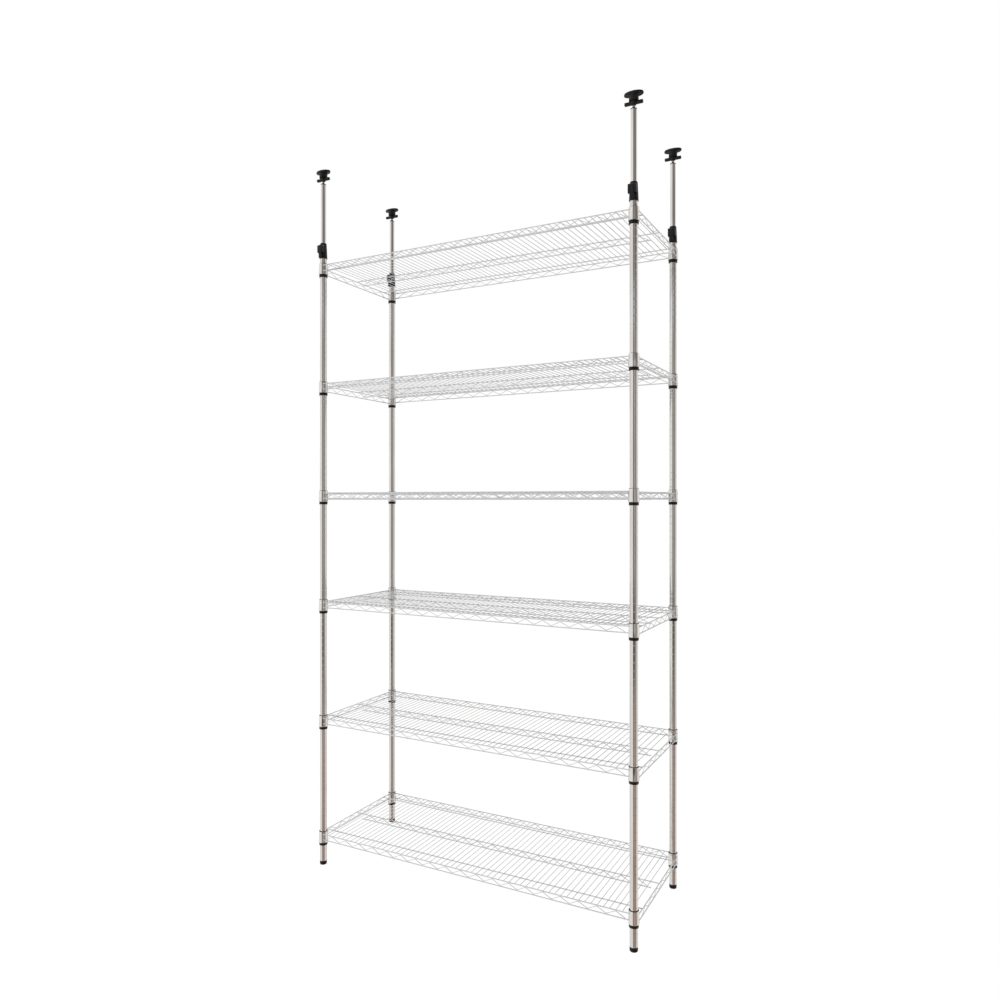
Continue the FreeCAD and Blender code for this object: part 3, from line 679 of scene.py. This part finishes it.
def lockClamp():
    look = clampLook
    low, top, height, rim = look["low"], look["top"], look["height"], look["top"] - look["rim"]
    post, tube, overlap = look["postBore"], look["tubeBore"], look["overlap"]
    footEdge, topEdge = look["footEdge"], look["topEdge"]
    body = turned("lockClamp", look["sides"], [
        (post, footEdge), (post + footEdge, 0), (low - footEdge, 0), (low, footEdge),
        (top, height - look["shoulder"]), (rim + topEdge, height - topEdge), (rim, height),
        (tube + topEdge, height), (tube, height - topEdge), (tube, overlap), (post, overlap)])
    root, face, bevel = look["cheekRoot"], look["cheekFace"], look["cheekBevel"]
    cheekLow, cheekTop = look["cheekLow"], look["cheekTop"]
    outline = [(root, cheekLow), (face - bevel, cheekLow), (face, cheekLow + bevel),
               (face, cheekTop - bevel), (face - bevel, cheekTop), (root, cheekTop)]
    width = (look["cheekOver"] - look["slot"]) / 2
    for side in (-1, 1):
        cheek = eased(plate("cheek", outline, width), look["cheekEase"])
        cheek.data.transform(Matrix.Translation((0, side * (look["slot"] + width) / 2 * mm, 0)))
        turnedAbout(cheek, "Z", -90)
        body = fused(body, cheek)
    root, face = look["windowRoot"], look["windowFace"]
    sill, lintel = hingeLook["height"] - look["windowHalf"], hingeLook["height"] + look["windowHalf"]
    window = plate("window", [(root, sill), (face, sill), (face, lintel), (root, lintel)],
                   look["slot"] - look["slotSlack"])
    turnedAbout(window, "Z", -90)
    body = cut(body, window)
    body = trimmed(cut(body, drill("pinHole", hingeLook["clampSlack"])))
    return smooth(body, angle=28)


def lockLever():
    look, pinOut, pinHeight = leverLook, hingeLook["out"], hingeLook["height"]
    back, face, tip, bevel, grip = look["back"], look["face"], look["tip"], look["tipBevel"], look["grip"]
    outline = [(back, tip), (face - bevel, tip), (face, tip + bevel)]
    for groove in range(look["gripCount"]):
        z = look["gripFirst"] + groove * look["gripPitch"]
        outline += [(face, z - grip), (face - grip, z), (face, z + grip)]
    outline.append((face, pinHeight))
    for step in range(look["headSteps"] + 1):
        lean = math.radians(look["headFrom"] + look["headSweep"] * step / look["headSteps"])
        outline.append((pinOut + look["head"] * math.cos(lean),
                        pinHeight + look["head"] * math.sin(lean)))
    outline.append((back, pinHeight - look["waist"]))
    lever = plate("lockLever", outline, look["width"])
    turnedAbout(lever, "Z", -90)
    eased(lever, look["ease"])
    lever = cut(lever, drill("leverHole", hingeLook["leverSlack"]))
    return smooth(lever, angle=28)


def leverPin():
    half = clampLook["cheekOver"] / 2 - hingeLook["short"]
    crown = hingeLook["crown"] + [(hingeLook["radius"], hingeLook["crownHeight"])]
    pin = onHinge("leverPin", [(radius, -half + along) for radius, along in crown]
                  + [(radius, half - along) for radius, along in crown[::-1]])
    return smooth(pin, angle=35)


atClamp = Vector((0, 0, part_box("clamp_fl")[0].z))
fitAtCorners(lockClamp(), "clamp", "frame", blackPlastic, atClamp)
fitAtCorners(lockLever(), "lever", "lever_*", blackPlastic, atClamp)
pinMaster = leverPin()
dress(pinMaster, steel)
pins = [copyTo(pinMaster, "pin", postSpot[corner] + atClamp) for corner in corners]
pinSet = joinAll(pins, "leverPinSet")
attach(pinSet, "frame")
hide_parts("lever_pins")
bpy.data.objects.remove(pinMaster)
print("clamps done")


# tension tubes with plug, adjuster screw, wing handle and ceiling pad, from the tube's upper end

tubeLook = {"radius": 9.5, "wall": 1.2, "length": 300, "sides": 40,
            "round": (0.35, 0.45), "roundMid": (0.1, 0.12), "mouth": (0.3, 0.4)}


def tensionTube():
    look = tubeLook
    radius, inner, low = look["radius"], look["radius"] - look["wall"], -look["length"]
    (edgeIn, edgeDown), (midIn, midDown) = look["round"], look["roundMid"]
    mouthOut, mouthDown = look["mouth"]
    tube = turned("tensionTube", look["sides"], [
        (inner, -mouthDown), (inner + mouthOut, 0), (radius - edgeIn, 0), (radius - midIn, -midDown),
        (radius, -edgeDown), (radius, low + edgeDown), (radius - edgeIn, low),
        (inner + mouthOut, low), (inner, low + mouthDown)])
    return smooth(tube, angle=35)


plugLook = {"inside": 8.1, "bore": 4.3, "depth": 20, "gap": 0.05, "rim": 9.9, "flange": 2.7, "nose": 5.6,
            "noseHeight": 3, "chamfer": 0.5, "under": 0.3, "round": 0.9, "roundMid": 0.25,
            "fillet": 0.6, "filletMid": 0.15, "sides": 36}


def tubePlug():
    look = plugLook
    inside, bore, gap, rim, nose = look["inside"], look["bore"], look["gap"], look["rim"], look["nose"]
    foot, flange, head = -look["depth"], look["flange"], look["flange"] + look["noseHeight"]
    chamfer, under, edge, edgeMid = look["chamfer"], look["under"], look["round"], look["roundMid"]
    fillet, filletMid = look["fillet"], look["filletMid"]
    plug = turned("tubePlug", look["sides"], [
        (bore, foot), (inside - chamfer, foot), (inside, foot + chamfer), (inside, gap),
        (rim - under, gap), (rim, gap + under), (rim, flange - edge), (rim - edgeMid, flange - edgeMid),
        (rim - edge, flange), (nose + fillet, flange), (nose + filletMid, flange + filletMid),
        (nose, flange + fillet), (nose, head - chamfer), (nose - chamfer, head),
        (bore + chamfer, head), (bore, head - chamfer)])
    return smooth(plug, angle=35)


screwLook = {"radius": 4, "pitch": 1.25, "below": 43, "turns": 47, "shank": 3.95, "shankSides": 24,
             "runIn": 0.5, "root": 0.6, "top": 24.4, "spigot": 3, "end": 30.7, "chamfer": 0.5}


def adjusterScrew():
    look = screwLook
    radius, shank, spigot = look["radius"], look["shank"], look["spigot"]
    top, end = look["top"], look["end"]
    thread = threaded("adjusterScrew", radius, look["pitch"], -look["below"], look["turns"])
    low = -look["below"] + look["turns"] * look["pitch"] - look["runIn"]
    plain = turnedSolid("shank", look["shankSides"], [
        (radius - look["root"], low), (shank, low + look["runIn"]), (shank, top), (spigot, top),
        (spigot, end - look["chamfer"]), (spigot - look["chamfer"], end)])
    return smooth(joinAll([thread, plain], "adjusterScrew"), angle=35)


handleLook = {"low": 12.7, "wingLow": 14.9, "wingHeight": 9.5, "reach": 28.3, "width": 9,
              "edge": 1.8, "edgeSteps": 4, "bossLow": 6.8, "boss": 9.5, "bossSides": 48,
              "bossEdge": (0.5, 0.4), "bossBend": (0.1, 0.6), "bossRound": 0.35, "bossSink": 0.02,
              "bore": 4.2, "boreSides": 24, "boreFrom": 5, "boreTo": 30}


def wingHandle():
    look = handleLook
    low, boss, bore, rounding = look["low"], look["boss"], look["bore"], look["bossRound"]
    top = look["wingLow"] + look["wingHeight"]
    deselectAll()
    bpy.ops.mesh.primitive_cube_add(size=1, location=(0, 0, (look["wingLow"] + top) / 2 * mm))
    handle = justAdded("wingHandle")
    handle.scale = (2 * look["reach"] * mm, look["width"] * mm, look["wingHeight"] * mm)
    applyPlace(handle)
    startEdit(handle)
    bpy.ops.mesh.bevel(offset=look["edge"] * mm, offset_type="OFFSET", segments=look["edgeSteps"],
                       affect="EDGES")
    endEdit()
    middle = look["wingLow"] + look["wingHeight"] / 2
    (edgeIn, edgeUp), (bendIn, bendDown) = look["bossEdge"], look["bossBend"]
    handle = fused(handle, turnedSolid("boss", look["bossSides"], [
        (look["bossLow"] - edgeIn, low), (look["bossLow"], low + edgeUp),
        (boss - bendIn, middle - bendDown), (boss, middle),
        (boss, top - rounding), (boss - rounding, top - look["bossSink"])]))
    handle = cut(handle, turnedSolid("bore", look["boreSides"], [
        (bore, look["boreFrom"]), (bore, look["boreTo"])]))
    return smooth(handle, angle=28)


padLook = {"length": 30, "depth": 16.5, "height": 4.8, "sides": 72, "round": 1.6, "roundSteps": 4,
           "edge": 0.5, "edgeMid": 0.15, "hubLow": 24.9, "hubHeight": 18.3, "hub": 14.5, "hubSides": 56,
           "bevel": 1, "bevelMid": 0.3, "flare": [(0, -1.2), (0.25, -0.4), (0.9, 0.02), (0.9, 2)],
           "socket": 3.3, "socketSides": 24, "socketLow": 20, "socketTop": 31}


def ceilingPad():
    look = padLook
    long, deep, hub, hubLow = look["length"], look["depth"], look["hub"], look["hubLow"]
    low = hubLow + look["hubHeight"]
    top = low + look["height"]
    rings = []
    for step in range(look["roundSteps"] + 1):
        lean = math.radians(90 / look["roundSteps"] * step)
        back = look["round"] * (1 - math.sin(lean))
        rings.append((long - back, deep - back, low + look["round"] * (1 - math.cos(lean))))
    rings.append((long, deep, top - look["edge"]))
    rings.append((long - look["edgeMid"], deep - look["edgeMid"], top - look["edgeMid"]))
    rings.append((long - look["edge"], deep - look["edge"], top))
    pad = oval("ceilingPad", look["sides"], rings)
    pad = fused(pad, turnedSolid("hub", look["hubSides"], [
        (hub - look["bevel"], hubLow), (hub - look["bevelMid"], hubLow + look["bevelMid"]),
        (hub, hubLow + look["bevel"])] + [(hub + out, low + up) for out, up in look["flare"]]))
    pad = cut(pad, turnedSolid("socket", look["socketSides"], [
        (look["socket"], look["socketLow"]), (look["socket"], look["socketTop"])]))
    return smooth(pad, angle=28)


linerLook = {"inset": 0.8, "thick": 2, "gap": 0.05, "under": (0.2, 0.25), "edge": 0.5, "edgeMid": 0.15}


def padLiner():
    look = linerLook
    low = padLook["hubLow"] + padLook["hubHeight"] + padLook["height"] + look["gap"]
    long, deep = padLook["length"] - look["inset"], padLook["depth"] - look["inset"]
    top = low + look["thick"]
    (underIn, underUp), edge, edgeMid = look["under"], look["edge"], look["edgeMid"]
    liner = oval("padLiner", padLook["sides"], [
        (long - underIn, deep - underIn, low), (long, deep, low + underUp), (long, deep, top - edge),
        (long - edgeMid, deep - edgeMid, top - edgeMid), (long - edge, deep - edge, top)])
    return smooth(liner, angle=28)


atTube = Vector((0, 0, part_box("tube_fl")[1].z))
fitAtCorners(tensionTube(), "tube", "pole_*", tubeChrome, atTube)
fitAtCorners(tubePlug(), "tube_plug", "pole_*", blackPlastic, atTube)
fitAtCorners(adjusterScrew(), "screw", "wing_*", steel, atTube)
fitAtCorners(wingHandle(), "handle", "wing_*", blackPlastic, atTube)
fitAtCorners(ceilingPad(), "pad", "ceiling_pad_*", blackPlastic, atTube)
fitAtCorners(padLiner(), "pad_liner", "ceiling_pad_*", linerRubber, atTube)
print("tension poles done")


# stage, light and camera

cameraLook = {"sensor": 36, "focal": 778.6, "frame": 1000, "reach": 100,
              "place": (1.324, -2.441, 1.338), "turn": 27.93}


def photoCamera():
    look = cameraLook
    camera = bpy.data.cameras.new("photoCamera")
    camera.sensor_fit = "HORIZONTAL"
    camera.sensor_width = look["sensor"]
    camera.lens = look["sensor"] * look["focal"] / look["frame"]
    camera.clip_end = look["reach"]
    cameraObject = bpy.data.objects.new("photoCamera", camera)
    bpy.context.scene.collection.objects.link(cameraObject)
    cameraObject.location = look["place"]
    cameraObject.rotation_euler = (math.radians(90), 0, math.radians(look["turn"]))
    bpy.context.scene.camera = cameraObject


floorLook = {"size": 60, "tint": 0.95, "rough": 0.9, "glow": 1.05, "glowShare": 0.9}


def studioFloor():
    look = floorLook
    deselectAll()
    bpy.ops.mesh.primitive_plane_add(size=look["size"], location=(0, 0, 0))
    floor = justAdded("studioFloor")
    material, nodes, links, shader = newMaterial("paleFloor")
    shader.inputs["Base Color"].default_value = (look["tint"], look["tint"], look["tint"], 1)
    shader.inputs["Roughness"].default_value = look["rough"]
    path = nodes.new("ShaderNodeLightPath")
    seen = nodes.new("ShaderNodeMath")
    seen.operation = "MULTIPLY"
    seen.inputs[1].default_value = look["glowShare"]
    links.new(path.outputs["Is Camera Ray"], seen.inputs[0])
    glow = nodes.new("ShaderNodeEmission")
    glow.inputs["Strength"].default_value = look["glow"]
    mix = nodes.new("ShaderNodeMixShader")
    links.new(seen.outputs["Value"], mix.inputs["Fac"])
    links.new(shader.outputs["BSDF"], mix.inputs[1])
    links.new(glow.outputs["Emission"], mix.inputs[2])
    links.new(mix.outputs["Shader"], nodes["Material Output"].inputs["Surface"])
    dress(floor, material)
    floor.visible_glossy = False


# the room that the chrome reflects: its front in degrees round from the camera, and each layer's share
# by height, from -1 straight down to 1 straight up. It is browner the further a reflection dips below
# the horizon and darker the further it rises, with a dark edge (shade) under the horizon and a cool
# strip of light over it
roomLook = {"fadeIn": 9, "fadeOut": 25, "backWall": (136, 148, 170)}
layerLook = {
    "level": {"pale": (1, 0.98, 0.955), "wall": (0.42, 0.39, 0.37), "front": [
        (-25, (0.07, 0.064, 0.06)), (12, (0.58, 0.535, 0.505)),
        (38, (0.28, 0.258, 0.244)), (62, (0.46, 0.424, 0.4))]},
    "below": {"pale": (1, 0.96, 0.92), "wall": (0.47, 0.38, 0.335), "front": [
        (-25, (0.31, 0.222, 0.192)), (10, (0.5, 0.372, 0.32)),
        (38, (0.34, 0.245, 0.21)), (56, (0.57, 0.48, 0.435))],
        "share": [(-0.4, 1), (-0.12, 0)]},
    "above": {"pale": (1, 0.98, 0.955), "wall": (0.36, 0.33, 0.31), "front": [
        (-29, (0.24, 0.213, 0.198)), (10, (0.34, 0.304, 0.283)),
        (38, (0.17, 0.15, 0.14)), (72, (0.27, 0.241, 0.225))],
        "share": [(0.14, 0), (0.32, 1)]},
    "shade": {"pale": (1, 0.98, 0.955), "wall": (0.42, 0.39, 0.37), "front": [
        (-25, (0.03, 0.027, 0.025)), (5, (0.14, 0.125, 0.115)),
        (25, (0.3, 0.272, 0.254)), (62, (0.5, 0.46, 0.43))],
        "share": [(-0.27, 0), (-0.2, 1), (-0.15, 1), (-0.08, 0)]},
    "strip": {"pale": (1, 1, 1), "wall": (0.42, 0.4, 0.38), "front": [
        (-25, (0.26, 0.265, 0.29)), (6, (0.6, 0.61, 0.67)),
        (38, (0.24, 0.23, 0.225)), (70, (0.36, 0.33, 0.31))],
        "share": [(0.2, 0), (0.225, 1), (0.255, 1), (0.28, 0)]},
}


def mixOver(nodes, links, share, under):
    mix = nodes.new("ShaderNodeMix")
    mix.data_type = "RGBA"
    links.new(share, mix.inputs["Factor"])
    links.new(under, mix.inputs["A"])
    return mix


def studioWorld():
    world = bpy.data.worlds.new("studioWorld")
    bpy.context.scene.world = world
    world.use_nodes = True
    nodes, links = world.node_tree.nodes, world.node_tree.links
    outward = nodes.new("ShaderNodeTexCoord").outputs["Generated"]
    turn = math.radians(cameraLook["turn"])
    right, toCamera = (math.cos(turn), math.sin(turn), 0), (math.sin(turn), -math.cos(turn), 0)
    bearing = nodes.new("ShaderNodeMath")
    bearing.operation = "ARCTAN2"
    for place, direction in enumerate((right, toCamera)):
        dot = nodes.new("ShaderNodeVectorMath")
        dot.operation = "DOT_PRODUCT"
        dot.inputs[1].default_value = direction
        links.new(outward, dot.inputs[0])
        links.new(dot.outputs["Value"], bearing.inputs[place])
    around = rangeFrom(nodes, links, bearing.outputs["Value"], (-math.pi, math.pi), (0, 1))
    slope = nodes.new("ShaderNodeSeparateXYZ")
    links.new(outward, slope.inputs["Vector"])
    height = rangeFrom(nodes, links, slope.outputs["Z"], (-1, 1), (0, 1))

    def room(layer):
        # pale all round but for the dark front, as given, and a plainer dark wall at the back
        pale, wall, front = layer["pale"], layer["wall"], layer["front"]
        wallFrom, wallDark, wallTo = roomLook["backWall"]
        stops = [(-180, pale), (front[0][0] - roomLook["fadeIn"], pale), *front,
                 (front[-1][0] + roomLook["fadeOut"], pale),
                 (wallFrom, pale), (wallDark, wall), (wallTo, wall), (180, pale)]
        return rampFrom(nodes, links, around, [((angle + 180) / 360, colour) for angle, colour in stops])

    sky = room(layerLook["level"])
    for name in ("below", "above", "shade", "strip"):
        layer = layerLook[name]
        share = rampFrom(nodes, links, height, [((z + 1) / 2, (v, v, v)) for z, v in layer["share"]])
        blend = mixOver(nodes, links, share, sky)
        links.new(room(layer), blend.inputs["B"])
        sky = blend.outputs["Result"]
    path = nodes.new("ShaderNodeLightPath")
    backdrop = mixOver(nodes, links, path.outputs["Is Camera Ray"], sky)
    backdrop.inputs["B"].default_value = (1, 1, 1, 1)  # plain white where the camera looks past the unit
    links.new(backdrop.outputs["Result"], nodes["Background"].inputs["Color"])


lampLook = {"power": 60, "size": 3, "place": (-0.6, -1.2, 4.6), "tilt": (14, -7, 0)}


def topSoftbox():
    lamp = bpy.data.lights.new("topSoftbox", "AREA")
    lamp.energy = lampLook["power"]
    lamp.size = lampLook["size"]
    lampObject = bpy.data.objects.new("topSoftbox", lamp)
    bpy.context.scene.collection.objects.link(lampObject)
    lampObject.location = lampLook["place"]
    lampObject.rotation_euler = [math.radians(angle) for angle in lampLook["tilt"]]
    lampObject.visible_glossy = False


photoCamera()
studioFloor()
studioWorld()
topSoftbox()
bpy.context.scene.view_settings.view_transform = "Standard"

print("scene ready")
